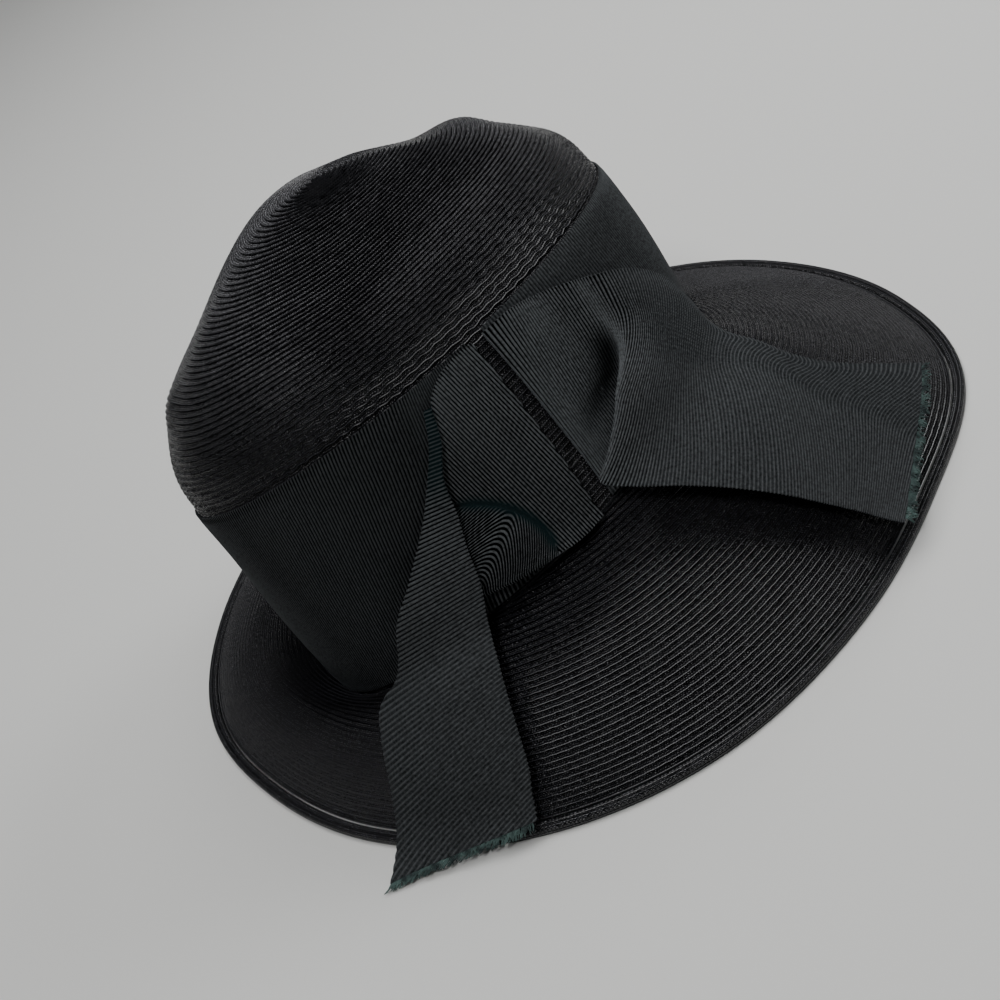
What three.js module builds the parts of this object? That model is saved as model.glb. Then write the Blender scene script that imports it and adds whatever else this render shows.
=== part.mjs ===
import * as THREE from 'three';
import { mergeVertices } from 'three/addons/utils/BufferGeometryUtils.js';

// A braided straw cloche that rests on its rim: rounded crown, turned-down brim, wide ribbon, flat bow.
// +X is the front of the hat, -Y the side with the bow, and the rim lies on z = 0.
// Lengths are in millimetres and angles in degrees, azimuths counted from +X toward +Y.

// Main sizes
const headLength = 194;
const headWidth = 168;
const crownHeight = 129;
const crownRise = 32.2;
const crownBack = 10;
const crownAside = 7.1;
const leanBack = 8.8;
const leanAway = 15.6;
const tipForward = 16;
const tipAside = 18;
const rimLength = 313;
const rimWidth = 294;
const strawWall = 2;
const edgeWidth = 4.2;
const edgeHeight = 3;
const ribbonWidth = 69;
const ribbonWall = 1;
const clearance = 0.3;

// Crown from foot to tip: height as a share of crownHeight, girth as a share of the head's size
const crownRows = [
  { height: 0.000, girth: 1.000 },
  { height: 0.130, girth: 0.995 },
  { height: 0.270, girth: 0.985 },
  { height: 0.400, girth: 0.976 },
  { height: 0.535, girth: 0.966 },
  { height: 0.640, girth: 0.938 },
  { height: 0.735, girth: 0.852 },
  { height: 0.820, girth: 0.725 },
  { height: 0.890, girth: 0.565 },
  { height: 0.940, girth: 0.415 },
  { height: 0.975, girth: 0.285 },
  { height: 0.994, girth: 0.150 },
  { height: 1.000, girth: 0.000 },
];

// Soft dents in the crown, or swellings where the depth is negative: place by azimuth and by way through the
// crown's rows (0 foot, 1 tip), depth and spread as shares of crownHeight. They press toward a point of the axis.
const dentRows = [
  { azimuth: 24.2, way: 0.742, depth: 0.041, spread: 0.156 },
  { azimuth: 8.1, way: 0.675, depth: -0.029, spread: 0.103 },
  { azimuth: 3.9, way: 0.553, depth: 0.030, spread: 0.068 },
  { azimuth: 132.3, way: 0.842, depth: -0.013, spread: 0.161 },
  { azimuth: 160.9, way: 0.641, depth: 0.020, spread: 0.128 },
  { azimuth: 184.5, way: 0.541, depth: -0.013, spread: 0.065 },
  { azimuth: 67.0, way: 0.866, depth: 0.013, spread: 0.059 },
  { azimuth: -7.0, way: 0.000, depth: 0.056, spread: 0.251 },
  { azimuth: 176.2, way: 0.300, depth: 0.033, spread: 0.214 },
  { azimuth: -95.0, way: 0.600, depth: 0.018, spread: 0.170 },
  { azimuth: -150.0, way: 0.500, depth: 0.014, spread: 0.180 },
];
const dentAim = 0.4;

// Tilt of the crown's top: rise across the hat and fall toward its front, per length from the axis
const tipRiseAside = 0.17;
const tipFallForward = 0.09;

// Height of the brim's outer edge on the doubled row, as a share of edgeHeight
const brimSeat = 0.9;

// Round the hat in steps of 22.5 degrees from +X: reach of the rim as a share of its oval, rise of the crown's
// foot as a share of crownHeight, bend of the brim (1 is straight) and height of its ridge as a share too
const roundRows = [
  { reach: 0.990, foot: 0.023, bend: 1.35, ridge: 0.000 },
  { reach: 0.974, foot: 0.016, bend: 1.35, ridge: 0.000 },
  { reach: 0.980, foot: 0.016, bend: 1.35, ridge: 0.000 },
  { reach: 0.985, foot: 0.016, bend: 1.35, ridge: 0.000 },
  { reach: 0.990, foot: 0.023, bend: 1.35, ridge: 0.000 },
  { reach: 0.990, foot: 0.039, bend: 1.35, ridge: 0.016 },
  { reach: 0.985, foot: 0.027, bend: 1.35, ridge: 0.039 },
  { reach: 0.995, foot: -0.023, bend: 1.35, ridge: 0.062 },
  { reach: 1.005, foot: -0.078, bend: 1.35, ridge: 0.078 },
  { reach: 0.985, foot: -0.120, bend: 1.35, ridge: 0.078 },
  { reach: 0.998, foot: -0.093, bend: 1.35, ridge: 0.054 },
  { reach: 1.018, foot: -0.048, bend: 1.35, ridge: 0.023 },
  { reach: 1.014, foot: -0.023, bend: 1.35, ridge: 0.000 },
  { reach: 0.980, foot: 0.005, bend: 1.35, ridge: 0.000 },
  { reach: 0.966, foot: 0.023, bend: 1.35, ridge: 0.000 },
  { reach: 1.012, foot: 0.031, bend: 1.35, ridge: 0.000 },
];

// The ribbon is open at its bow, between these azimuths at its upper and lower edge
const gap = { leftTop: -78, leftFoot: -80, rightTop: -73.5, rightFoot: -75 };

// Sections of the bow's pieces: upper (or left), middle and lower (or right) point of each. An azimuth goes with a
// way down the hat, 0 at the ribbon's upper edge, 1 at the crown's foot and 2 at the rim, and with a lift off it
// as a share of ribbonWidth
const section = (a1, d1, l1, a2, d2, l2, a3, d3, l3) => ({ a1, d1, l1, a2, d2, l2, a3, d3, l3 });
const leftLoopRows = [
  section(-77.0, 0.01, 0.000, -77.6, 0.50, 0.000, -79.5, 1.02, 0.012),
  section(-81.0, 0.00, 0.004, -83.0, 0.50, 0.010, -85.0, 1.02, 0.020),
  section(-85.5, 0.02, 0.010, -89.0, 0.52, 0.022, -91.5, 0.99, 0.034),
  section(-88.2, 0.06, 0.008, -95.5, 0.50, 0.018, -99.5, 0.95, 0.030),
  section(-89.4, 0.09, 0.000, -100.5, 0.48, 0.004, -107.0, 0.90, 0.006),
];
const leftTailRows = [
  section(-91.6, 0.10, 0.004, -91.0, 0.10, 0.016, -90.3, 0.10, 0.026),
  section(-95.0, 0.23, 0.010, -94.0, 0.23, 0.034, -92.6, 0.23, 0.046),
  section(-99.5, 0.35, 0.014, -98.2, 0.36, 0.052, -96.6, 0.37, 0.064),
  section(-105.5, 0.49, 0.026, -102.2, 0.51, 0.062, -98.8, 0.53, 0.070),
  section(-115.0, 0.66, 0.058, -108.5, 0.66, 0.088, -101.5, 0.68, 0.080),
  section(-123.5, 0.80, 0.085, -114.0, 0.82, 0.116, -103.8, 0.84, 0.086),
  section(-130.0, 1.03, 0.112, -119.0, 1.04, 0.140, -107.0, 1.03, 0.096),
  section(-132.5, 1.26, 0.100, -121.0, 1.28, 0.140, -108.0, 1.30, 0.098),
  section(-131.5, 1.50, 0.086, -121.0, 1.50, 0.120, -109.0, 1.53, 0.080),
  section(-130.5, 1.75, 0.070, -120.7, 1.76, 0.100, -110.0, 1.78, 0.060),
  section(-130.5, 1.98, 0.045, -121.0, 1.93, 0.062, -111.0, 1.89, 0.050),
  section(-130.2, 2.34, 0.000, -122.7, 2.13, 0.022, -111.6, 2.01, 0.036),
];
const rightTailRows = [
  section(-74.3, 0.01, 0.000, -74.3, 0.45, 0.000, -75.3, 0.92, 0.000),
  section(-67.0, 0.02, 0.006, -69.0, 0.47, 0.008, -70.5, 0.94, 0.004),
  section(-60.5, 0.07, 0.020, -60.5, 0.50, 0.012, -63.0, 0.97, 0.012),
  section(-55.8, 0.12, 0.038, -57.8, 0.53, 0.066, -66.0, 0.94, 0.080),
  section(-50.5, 0.19, 0.055, -62.0, 0.60, 0.116, -76.6, 0.88, 0.144),
  section(-44.5, 0.28, 0.064, -58.0, 0.70, 0.140, -73.6, 1.05, 0.164),
  section(-38.0, 0.42, 0.064, -52.0, 0.83, 0.136, -69.0, 1.24, 0.156),
  section(-31.8, 0.62, 0.054, -46.5, 1.02, 0.130, -64.6, 1.42, 0.144),
  section(-29.4, 0.86, 0.058, -43.5, 1.20, 0.126, -61.3, 1.57, 0.138),
  section(-32.6, 1.12, 0.096, -43.0, 1.37, 0.126, -59.2, 1.68, 0.130),
  section(-35.4, 1.33, 0.110, -43.5, 1.53, 0.122, -57.5, 1.77, 0.122),
  section(-33.8, 1.53, 0.108, -42.0, 1.69, 0.112, -55.8, 1.86, 0.108),
  section(-27.0, 1.84, 0.094, -41.4, 1.90, 0.100, -54.1, 1.99, 0.104),
];

const radians = THREE.MathUtils.degToRad;
const clamp = THREE.MathUtils.clamp;
const mix = THREE.MathUtils.lerp;
const bandShare = ribbonWidth / crownHeight;

// Smooth values between the rows of a table, for t from 0 to 1, or once round it where the table is closed
function between(rows, t, closed = false) {
  const spans = closed ? rows.length : rows.length - 1;
  const place = clamp(t, 0, 1) * spans;
  const i = Math.min(Math.floor(place), spans - 1);
  const f = place - i;
  const row = (k) => rows[(k + rows.length) % rows.length];
  const value = {};
  for (const key of Object.keys(rows[0])) {
    const p1 = row(i)[key];
    const p2 = row(i + 1)[key];
    const p0 = closed || i > 0 ? row(i - 1)[key] : 2 * p1 - p2;
    const p3 = closed || i < spans - 1 ? row(i + 2)[key] : 2 * p2 - p1;
    const square = 2 * p0 - 5 * p1 + 4 * p2 - p3;
    const cube = 3 * p1 - p0 - 3 * p2 + p3;
    value[key] = 0.5 * (2 * p1 + (p2 - p0) * f + square * f * f + cube * f ** 3);
  }
  return value;
}

// Values of the table round the hat at an azimuth
function aroundHat(azimuth) {
  return between(roundRows, ((azimuth / 360) % 1 + 1) % 1, true);
}

// Turn and place of the crown's own axis
const crownTurn = new THREE.Matrix4().makeRotationX(-radians(leanAway))
  .multiply(new THREE.Matrix4().makeRotationY(-radians(leanBack)));
const crownPlace = new THREE.Vector3(-crownBack, -crownAside, crownRise);

// A point of the crown's plain form in its own frame, t from 0 at the foot to 1 at the tip
function crownForm(azimuth, t) {
  const row = between(crownRows, t);
  const c = Math.cos(radians(azimuth));
  const s = Math.sin(radians(azimuth));
  const toTip = clamp((row.height - bandShare) / (1 - bandShare), 0, 1);
  const toFoot = clamp(1 - row.height / bandShare, 0, 1);
  const across = row.girth * headLength / 2 * c;
  const aside = row.girth * headWidth / 2 * s;
  const tilt = toTip ** 2;
  const rise = row.height * crownHeight + toFoot * aroundHat(azimuth).foot * crownHeight;
  return new THREE.Vector3(
    across + tilt * tipForward,
    aside - tilt * tipAside,
    rise + tilt * (tipRiseAside * aside - tipFallForward * across),
  );
}

// Middle of each dent, the direction that it presses in, its depth and its reach
const dentTarget = new THREE.Vector3(0, 0, dentAim * crownHeight);
const dents = dentRows.map((dent) => {
  const middle = crownForm(dent.azimuth, dent.way);
  const inward = dentTarget.clone().sub(middle).normalize();
  return { middle, inward, depth: dent.depth * crownHeight, reach: dent.spread * crownHeight };
});

// A point of the crown's outside, dented, leaning and in its place on the hat
function crownPoint(azimuth, t) {
  const p = crownForm(azimuth, t);
  for (const dent of dents) {
    const near = Math.exp(-p.distanceToSquared(dent.middle) / dent.reach ** 2);
    p.addScaledVector(dent.inward, dent.depth * near);
  }
  return p.applyMatrix4(crownTurn).add(crownPlace);
}

// The t at which the crown reaches the ribbon's upper edge
function findBandTop() {
  let low = 0;
  let high = 1;
  for (let i = 0; i < 40; i += 1) {
    const t = (low + high) / 2;
    if (between(crownRows, t).height < bandShare) low = t;
    else high = t;
  }
  return low;
}
const bandTop = findBandTop();

// A point of the rim's outline, drawn in by a width
function rimPoint(azimuth, inset, z) {
  const reach = aroundHat(azimuth).reach;
  return new THREE.Vector3(
    (reach * rimLength / 2 - inset) * Math.cos(radians(azimuth)),
    (reach * rimWidth / 2 - inset) * Math.sin(radians(azimuth)),
    z,
  );
}

// A point of the brim's upper side, v from 0 at the crown's foot to 1 at the rim
function brimPoint(azimuth, v) {
  const row = aroundHat(azimuth);
  const foot = crownPoint(azimuth, 0);
  foot.z -= clearance;
  const p = foot.clone().lerp(rimPoint(azimuth, edgeWidth + clearance, 0), v);
  const edge = brimSeat * edgeHeight;
  p.z = edge + (foot.z - edge) * (1 - v ** row.bend) + row.ridge * crownHeight * Math.sin(Math.PI * v);
  return p;
}

// The hat's outside from the ribbon's upper edge (down = 0) over the foot (1) to the rim (2) and on past it
function outsidePoint(azimuth, down) {
  if (down < 1) return crownPoint(azimuth, bandTop * (1 - down));
  if (down <= 2) return brimPoint(azimuth, down - 1);
  const rim = brimPoint(azimuth, 1);
  const width = rim.distanceTo(brimPoint(azimuth, 0));
  const past = (down - 2) * width;
  rim.x += past * Math.cos(radians(azimuth));
  rim.y += past * Math.sin(radians(azimuth));
  rim.z = mix(rim.z, -clearance, THREE.MathUtils.smoothstep(past, 1.5 * edgeWidth, 3.5 * edgeWidth));
  return rim;
}

// The same, bridging the corner at the foot as a ribbon does, and lifted off by a length in a direction that
// swings from the crown's side to the brim's
const bridge = 0.25;
function liftedPoint(azimuth, down, lift) {
  const swing = THREE.MathUtils.smoothstep(down, 0, 1.5);
  const rise = radians(mix(15, 52, swing));
  const away = new THREE.Vector3(
    Math.cos(radians(azimuth)) * Math.cos(rise),
    Math.sin(radians(azimuth)) * Math.cos(rise),
    Math.sin(rise),
  );
  const knot = Math.round(down / bridge);
  const t = down / bridge - knot;
  const p = outsidePoint(azimuth, bridge * (knot - 1)).multiplyScalar(0.5 * (0.5 - t) ** 2);
  p.addScaledVector(outsidePoint(azimuth, bridge * knot), 0.75 - t * t);
  p.addScaledVector(outsidePoint(azimuth, bridge * (knot + 1)), 0.5 * (0.5 + t) ** 2);
  return p.addScaledVector(away, lift);
}

// A point of a bow piece's middle surface: u along its rows, v from its first edge to its last
function bowPoint(rows, seat, u, v) {
  const row = between(rows, u);
  const first = 2 * (v - 0.5) * (v - 1);
  const middle = 4 * v * (1 - v);
  const last = 2 * v * (v - 0.5);
  const azimuth = first * row.a1 + middle * row.a2 + last * row.a3;
  const down = first * row.d1 + middle * row.d2 + last * row.d3;
  const lift = first * row.l1 + middle * row.l2 + last * row.l3;
  return liftedPoint(azimuth, down, seat + lift * ribbonWidth);
}

// A grid of points of a surface, with the outward direction at each
function grid(surface, columns, rows, closed) {
  const step = 1e-3;
  const points = [];
  for (let j = 0; j <= rows; j += 1) {
    for (let i = 0; i < columns + (closed ? 0 : 1); i += 1) {
      const u = i / columns;
      const v = j / rows;
      const u0 = closed ? u - step : Math.max(u - step, 0);
      const u1 = closed ? u + step : Math.min(u + step, 1);
      const v0 = Math.max(v - step, 0);
      const v1 = Math.min(v + step, 1 - step / 10);
      const inside = Math.min(v, 1 - step / 10);
      const du = surface(u1, inside).sub(surface(u0, inside));
      const dv = surface(u, v1).sub(surface(u, v0));
      points.push({ at: surface(u, v), out: du.cross(dv).normalize() });
    }
  }
  return points;
}

// A closed wall between two offsets of a surface, one at the far side and one at the near side of it
function wall(surface, far, near, columns, rows, closed, pole = false) {
  const points = grid(surface, columns, rows, closed);
  const across = closed ? columns : columns + 1;
  if (pole) {
    const top = points.slice(rows * across);
    const out = top.reduce((sum, p) => sum.add(p.out), new THREE.Vector3()).normalize();
    for (const p of top) p.out = out;
  }
  const layers = [far, near].map((d) => points.map((p) => p.at.clone().addScaledVector(p.out, d)));
  const triangles = [];
  const quad = (a, b, c, d) => triangles.push(a, b, c, a, c, d);
  const at = (layer, i, j) => layers[layer][j * across + (i % across)];
  for (let j = 0; j < rows; j += 1) {
    for (let i = 0; i < columns; i += 1) {
      quad(at(0, i, j), at(0, i + 1, j), at(0, i + 1, j + 1), at(0, i, j + 1));
      quad(at(1, i, j), at(1, i, j + 1), at(1, i + 1, j + 1), at(1, i + 1, j));
    }
  }
  for (let i = 0; i < columns; i += 1) {
    quad(at(1, i, 0), at(1, i + 1, 0), at(0, i + 1, 0), at(0, i, 0));
    if (!pole) quad(at(0, i, rows), at(0, i + 1, rows), at(1, i + 1, rows), at(1, i, rows));
  }
  for (let j = 0; j < rows && !closed; j += 1) {
    quad(at(1, 0, j), at(0, 0, j), at(0, 0, j + 1), at(1, 0, j + 1));
    quad(at(0, columns, j), at(1, columns, j), at(1, columns, j + 1), at(0, columns, j + 1));
  }
  return body(triangles);
}

// A ring swept from a closed outline, with the outline's points given for each azimuth
function ring(outline, columns) {
  const turns = Array.from({ length: columns }, (_, i) => outline(360 * i / columns));
  const triangles = [];
  for (let i = 0; i < columns; i += 1) {
    const here = turns[i];
    const next = turns[(i + 1) % columns];
    for (let k = 0; k < here.length; k += 1) {
      const l = (k + 1) % here.length;
      triangles.push(here[k], here[l], next[l], here[k], next[l], next[k]);
    }
  }
  return body(triangles);
}

// One closed body from triangles, with its faces turned outward
function body(corners) {
  const kept = [];
  let volume = 0;
  for (let i = 0; i < corners.length; i += 3) {
    const [a, b, c] = corners.slice(i, i + 3);
    if (a.distanceTo(b) < 1e-5 || b.distanceTo(c) < 1e-5 || c.distanceTo(a) < 1e-5) continue;
    kept.push([a, b, c]);
    volume += a.dot(b.clone().cross(c));
  }
  const facing = volume < 0 ? kept.map(([a, b, c]) => [a, c, b]) : kept;
  const geometry = new THREE.BufferGeometry().setFromPoints(facing.flat());
  return mergeVertices(geometry, 1e-4);
}

// Materials
const straw = new THREE.MeshStandardMaterial({ color: 0x15151d, roughness: 0.38, metalness: 0 });
const edging = new THREE.MeshStandardMaterial({ color: 0x1a1a24, roughness: 0.34, metalness: 0 });
const grosgrain = new THREE.MeshStandardMaterial({ color: 0x20262a, roughness: 0.72, metalness: 0 });

const hat = new THREE.Group();
function add(name, geometry, material) {
  geometry.computeVertexNormals();
  const mesh = new THREE.Mesh(geometry, material);
  mesh.name = name;
  hat.add(mesh);
  return mesh;
}

// Crown, hollow and open below
add('crown', wall((u, v) => crownPoint(360 * u, v), 0, -strawWall, 64, 15, true, true), straw);

// Brim, from the crown's foot to the edge
add('brim', wall((u, v) => brimPoint(360 * u, 1 - v), 0, -strawWall, 64, 9, true), straw);

// Edge of the brim, a doubled row with a flat underside
function edgeOutline(azimuth) {
  const corner = 0.25;
  const outline = [
    [0, corner], [corner, 0], [1 - corner, 0], [1, corner],
    [1, 1 - corner], [1 - corner, 1], [corner, 1], [0, 1 - corner],
  ];
  return outline.map(([x, z]) => rimPoint(azimuth, edgeWidth * (1 - x), edgeHeight * z));
}
const edge = add('rim_edge', ring(edgeOutline, 64), edging);

// Ribbon round the crown, open at the bow
function bandPoint(u, v) {
  const left = mix(gap.leftFoot, gap.leftTop, v);
  const right = mix(gap.rightFoot, gap.rightTop, v);
  const foot = (ribbonWall + clearance) / ribbonWidth;
  return crownPoint(mix(right, left + 360, u), bandTop * mix(foot, 1, v));
}
add('ribbon_band', wall(bandPoint, clearance + ribbonWall, clearance, 60, 5, false), grosgrain);

// Bow: a flat loop with a hanging tail on the left, a folded loop and tail in one on the right
const bowSeat = 2 * clearance + 1.5 * ribbonWall;
const half = ribbonWall / 2;
function addBow(name, rows, columns, across) {
  const surface = (u, v) => bowPoint(rows, bowSeat, u, v);
  return add(name, wall(surface, half, -half, columns, across, false), grosgrain);
}
addBow('bow_left_loop', leftLoopRows, 12, 9);
addBow('bow_left_tail', leftTailRows, 26, 6);
addBow('bow_right', rightTailRows, 48, 7);

// The middle of the rim's outline goes over the origin
edge.geometry.computeBoundingBox();
const middle = edge.geometry.boundingBox.getCenter(new THREE.Vector3());
hat.position.set(-middle.x, -middle.y, 0);

export default hat;
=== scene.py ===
import math

import bpy
import numpy as np
from mathutils import Matrix, Vector


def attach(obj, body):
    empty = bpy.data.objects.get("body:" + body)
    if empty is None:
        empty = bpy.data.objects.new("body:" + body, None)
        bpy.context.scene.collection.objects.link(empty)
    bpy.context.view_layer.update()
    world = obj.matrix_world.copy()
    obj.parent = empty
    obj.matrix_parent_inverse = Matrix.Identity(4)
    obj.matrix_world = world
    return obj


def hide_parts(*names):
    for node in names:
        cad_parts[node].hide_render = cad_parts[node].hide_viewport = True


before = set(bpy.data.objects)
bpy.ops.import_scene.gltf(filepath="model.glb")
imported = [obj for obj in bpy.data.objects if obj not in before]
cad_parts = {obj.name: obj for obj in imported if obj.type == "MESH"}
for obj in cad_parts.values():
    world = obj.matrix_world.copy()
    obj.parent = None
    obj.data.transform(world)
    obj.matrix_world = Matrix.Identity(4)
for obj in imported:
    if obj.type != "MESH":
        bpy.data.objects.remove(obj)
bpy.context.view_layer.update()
bpy.ops.object.select_all(action="DESELECT")
rng = np.random.default_rng(7)

# Lengths in the sections are millimetres, azimuths are degrees from +X toward +Y, as in the part.
# The blocked shape of the hat comes first, because braid and ribbon both lie on it: a rounded crown that
# leans on its foot and a bell brim that comes down to a level rim.
MM = 0.001
head_length = 194
head_width = 168
crown_height = 129
crown_place = np.array([-10.0, -7.1, 32.2])
lean_back = 8.8
lean_away = 15.6
tip_forward = 16
tip_aside = 18
rim_length = 313
rim_width = 294
straw_wall = 2
edge_width = 4.2
edge_height = 3
brim_bend = 1.35
ribbon_width = 69
clearance = 0.3
bridge = 0.25
band_share = ribbon_width / crown_height

# Crown from foot to tip: height as a share of crown_height, girth as a share of the head's size
crown_rows = [
    (0.000, 1.000), (0.130, 0.995), (0.270, 0.985), (0.400, 0.976), (0.535, 0.966), (0.640, 0.938),
    (0.735, 0.852), (0.820, 0.725), (0.890, 0.565), (0.940, 0.415), (0.975, 0.285), (0.994, 0.150),
    (1.000, 0.000),
]

# Soft dents, or swellings where the depth is negative: azimuth, way from foot to tip, and depth and spread
# as shares of crown_height
dent_rows = [
    (24.2, 0.742, 0.041, 0.156), (8.1, 0.675, -0.029, 0.103), (3.9, 0.553, 0.030, 0.068),
    (132.3, 0.842, -0.013, 0.161), (160.9, 0.641, 0.020, 0.128), (184.5, 0.541, -0.013, 0.065),
    (67.0, 0.866, 0.013, 0.059), (-7.0, 0.000, 0.056, 0.251), (176.2, 0.300, 0.033, 0.214),
    (-95.0, 0.600, 0.018, 0.170), (-150.0, 0.500, 0.014, 0.180),
]
dent_aim = np.array([0, 0, 0.4 * crown_height])

# Every 22.5 degrees from +X: reach of the rim, rise of the crown's foot, height of the brim's ridge
round_rows = [
    (0.990, 0.023, 0.000), (0.974, 0.016, 0.000), (0.980, 0.016, 0.000), (0.985, 0.016, 0.000),
    (0.990, 0.023, 0.000), (0.990, 0.039, 0.016), (0.985, 0.027, 0.039), (0.995, -0.023, 0.062),
    (1.005, -0.078, 0.078), (0.985, -0.120, 0.078), (0.998, -0.093, 0.054), (1.018, -0.048, 0.023),
    (1.014, -0.023, 0.000), (0.980, 0.005, 0.000), (0.966, 0.023, 0.000), (1.012, 0.031, 0.000),
]

crown_turn = np.array(
    Matrix.Rotation(-math.radians(lean_away), 3, "X") @ Matrix.Rotation(-math.radians(lean_back), 3, "Y")
)


def between(rows, t, closed=False):
    """Smooth values between the evenly spaced rows of a table, t from 0 to 1."""
    rows = np.asarray(rows, float)
    spans = len(rows) if closed else len(rows) - 1
    place = np.clip(t, 0, 1) * spans
    i = np.minimum(place.astype(int), spans - 1)
    f = (place - i)[..., None]
    if closed:
        a, b, c, d = (rows[(i + k) % len(rows)] for k in (-1, 0, 1, 2))
    else:
        longer = np.vstack([2 * rows[0] - rows[1], rows, 2 * rows[-1] - rows[-2]])
        a, b, c, d = (longer[i + k] for k in range(4))
    square = 2 * a - 5 * b + 4 * c - d
    cube = 3 * b - a - 3 * c + d
    return 0.5 * (2 * b + (c - a) * f + square * f**2 + cube * f**3)


def around_hat(azimuth):
    """Reach, foot and ridge at an azimuth."""
    return np.moveaxis(between(round_rows, (azimuth / 360) % 1, closed=True), -1, 0)


def smooth(low, high, x):
    """0 below low, 1 above high, and a soft step between."""
    t = np.clip((x - low) / (high - low), 0, 1)
    return t * t * (3 - 2 * t)


def unit(v):
    return v / np.maximum(np.linalg.norm(v, axis=-1, keepdims=True), 1e-12)


def crown_form(azimuth, t):
    """The crown's plain form in its own frame, t from 0 at the foot to 1 at the tip."""
    azimuth, t = np.broadcast_arrays(np.asarray(azimuth, float), np.asarray(t, float))
    height, girth = np.moveaxis(between(crown_rows, t), -1, 0)
    c = np.cos(np.radians(azimuth))
    s = np.sin(np.radians(azimuth))
    tilt = np.clip((height - band_share) / (1 - band_share), 0, 1) ** 2
    to_foot = np.clip(1 - height / band_share, 0, 1)
    across = girth * head_length / 2 * c
    aside = girth * head_width / 2 * s
    rise = height * crown_height + to_foot * around_hat(azimuth)[1] * crown_height
    return np.stack([
        across + tilt * tip_forward,
        aside - tilt * tip_aside,
        rise + tilt * (0.17 * aside - 0.09 * across),
    ], axis=-1)


def crown_point(azimuth, t):
    """The crown's outside, dented, leaning and in its place."""
    p = crown_form(azimuth, t)
    for dent_azimuth, way, depth, spread in dent_rows:
        middle = crown_form(dent_azimuth, way)
        near = np.exp(-np.sum((p - middle) ** 2, axis=-1) / (spread * crown_height) ** 2)
        p = p + (depth * crown_height * near)[..., None] * unit(dent_aim - middle)
    return p @ crown_turn.T + crown_place


def rim_point(azimuth, inset, z):
    """The rim's outline, drawn in by a width."""
    reach = around_hat(azimuth)[0]
    x = (reach * rim_length / 2 - inset) * np.cos(np.radians(azimuth))
    y = (reach * rim_width / 2 - inset) * np.sin(np.radians(azimuth))
    return np.stack([x, y, np.broadcast_to(z, x.shape)], axis=-1)


def brim_point(azimuth, v):
    """The brim's upper side, v from 0 at the crown's foot to 1 at the rim."""
    azimuth, v = np.broadcast_arrays(np.asarray(azimuth, float), np.asarray(v, float))
    foot = crown_point(azimuth, 0) - (0, 0, clearance)
    p = foot + v[..., None] * (rim_point(azimuth, edge_width + clearance, 0) - foot)
    edge = 0.9 * edge_height
    ridge = around_hat(azimuth)[2] * crown_height * np.sin(np.pi * v)
    p[..., 2] = edge + (foot[..., 2] - edge) * (1 - v**brim_bend) + ridge
    return p


band_heights = [height for height, girth in crown_rows]
band_top = float(np.interp(band_share, band_heights, np.linspace(0, 1, len(crown_rows))))
for _ in range(20):
    band_top += (band_share - between(crown_rows, np.array(band_top))[0]) * 0.6
outline = rim_point(np.arange(64) * 360 / 64, 0, 0)
rim_middle = (outline.min(axis=0) + outline.max(axis=0)) / 2

# Camera: the photograph looks down on the bow's side at 31 degrees and is rolled, so that the crown
# leans to the upper left. The hat lies on a plain pale floor under soft studio light.
eye = Vector((-0.01107, -0.44797, 0.33932))
aim = Vector((-0.01627, -0.02294, 0.03700))
roll = math.radians(-31.9)
back = (eye - aim).normalized()
level = Vector((0, 0, 1)).cross(back).normalized()
upright = back.cross(level)
right = math.cos(roll) * level + math.sin(roll) * upright
up = math.cos(roll) * upright - math.sin(roll) * level
bpy.ops.object.camera_add(location=eye)
camera = bpy.context.object
camera.rotation_euler = Matrix((right, up, back)).transposed().to_euler()
camera.data.sensor_width = 36
camera.data.lens = 52.24
camera.data.clip_start = 0.02
bpy.context.scene.camera = camera


def soft_light(name, place, target, size, watts, tint=(1, 1, 1)):
    """A round area light, in metres and watts, that the camera doesn't see."""
    bpy.ops.object.light_add(type="AREA", location=place)
    light = bpy.context.object
    light.name = name
    light.rotation_euler = (Vector(target) - Vector(place)).to_track_quat("-Z", "Y").to_euler()
    light.data.shape = "DISK"
    light.data.size = size
    light.data.energy = watts
    light.data.color = tint
    light.visible_camera = False


soft_light("ceiling", (0.25, 0.45, 1.30), (0.25, 0.45, 0), 1.50, 14.5)
soft_light("window", (1.00, 0.20, 0.80), (0, 0, 0.08), 0.50, 3.6, (0.98, 0.99, 1.0))
soft_light("front", (-0.25, -0.62, 1.10), (0, 0, 0.05), 0.25, 4.4)

# The room is bright to the right and beyond the hat, and dark behind the camera
world = bpy.data.worlds.new("pale_room")
world.use_nodes = True
room = world.node_tree
direction = room.nodes.new("ShaderNodeTexCoord")
bright_side = room.nodes.new("ShaderNodeVectorMath")
bright_side.operation = "DOT_PRODUCT"
bright_side.inputs[1].default_value = (0.6, 0.8, 0)
far_side = room.nodes.new("ShaderNodeMapRange")
far_side.inputs["From Min"].default_value = -0.6
far_side.inputs["From Max"].default_value = 0.9
far_side.inputs["To Min"].default_value = 0.03
far_side.inputs["To Max"].default_value = 0.12
room.links.new(direction.outputs["Generated"], bright_side.inputs[0])
room.links.new(bright_side.outputs["Value"], far_side.inputs["Value"])
room.links.new(far_side.outputs[0], room.nodes["Background"].inputs["Strength"])
room.nodes["Background"].inputs["Color"].default_value = (0.93, 0.95, 0.96, 1)
bpy.context.scene.world = world

bpy.ops.mesh.primitive_plane_add(size=8)
floor = bpy.context.object
floor.name = "floor"
paper = bpy.data.materials.new("pale_paper")
paper.use_nodes = True
paper.node_tree.nodes["Principled BSDF"].inputs["Base Color"].default_value = (0.80, 0.80, 0.78, 1)
paper.node_tree.nodes["Principled BSDF"].inputs["Roughness"].default_value = 0.9
floor.data.materials.append(paper)

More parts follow.
